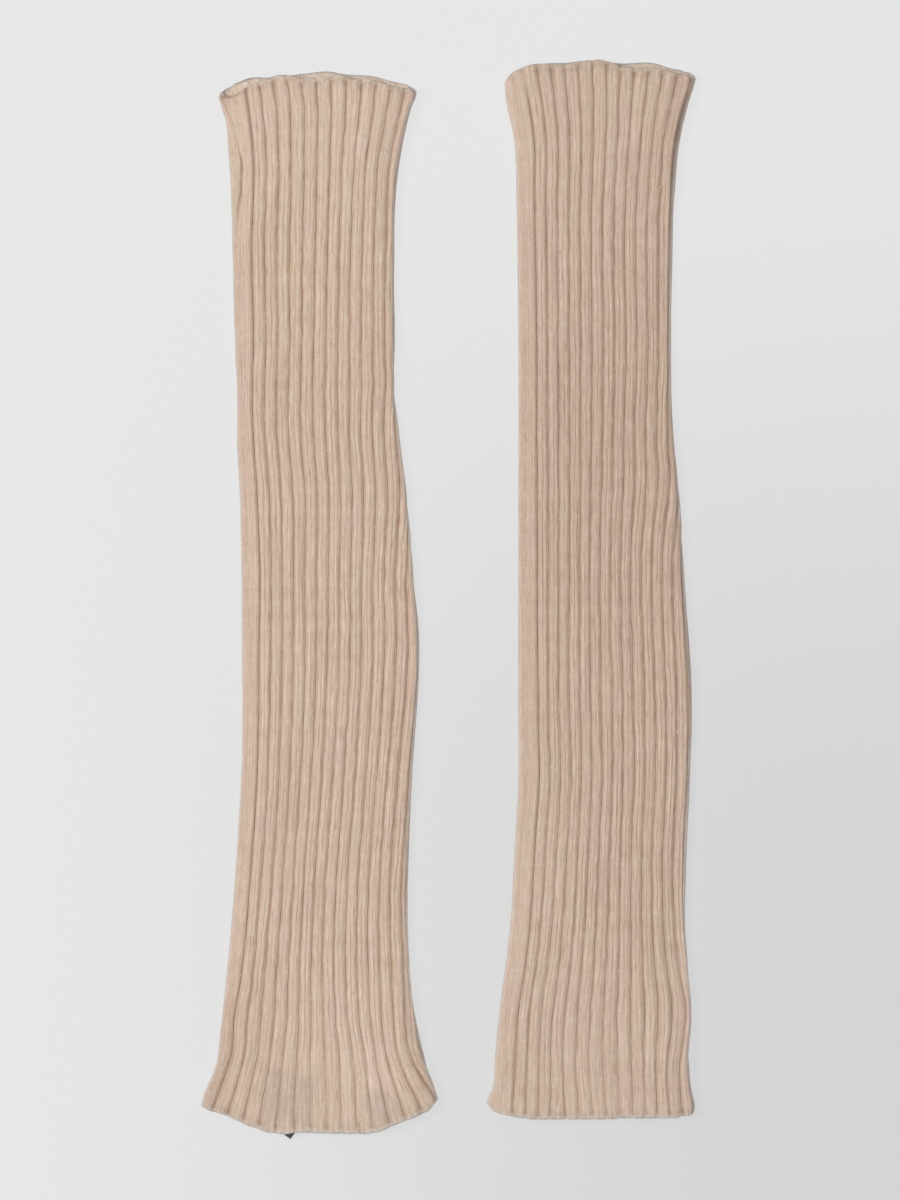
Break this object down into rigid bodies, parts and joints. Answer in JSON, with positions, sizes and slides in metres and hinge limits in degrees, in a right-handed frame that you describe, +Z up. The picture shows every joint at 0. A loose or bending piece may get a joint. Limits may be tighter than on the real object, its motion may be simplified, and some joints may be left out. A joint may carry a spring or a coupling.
{
  "type": "pair of arm warmers",
  "caption": "Long fingerless rib-knit sleeves laid flat side by side, each a pressed tube with flared open ends and a plain band along one fold, worn from hand to elbow.",
  "frame": {"origin": "on the surface that the pair lies on, in the middle of the pair", "axes": "+Z up off the surface, +Y along the warmers towards the upper mouths in the picture, +X towards the right warmer"},
  "size_m": [0.2552, 0.5584, 0.0078],
  "materials": {
    "rib_knit": "matt wool and cotton rib knit, pale pinkish beige",
    "plain_knit": "matt plain knit of the same yarn",
    "knitted_edge": "matt knitted edge, slightly paler and greyer",
    "label_tape": "dull dark grey woven tape, folded once, plain"
  },
  "bodies": {
    "root": {"left_rib_panel": "rib_knit", "left_side_band": "plain_knit", "left_upper_edge": "knitted_edge", "left_lower_edge": "knitted_edge", "right_rib_panel": "rib_knit", "right_side_band": "plain_knit", "right_upper_edge": "knitted_edge", "right_lower_edge": "knitted_edge", "label": "label_tape"}
  },
  "joints": []
}
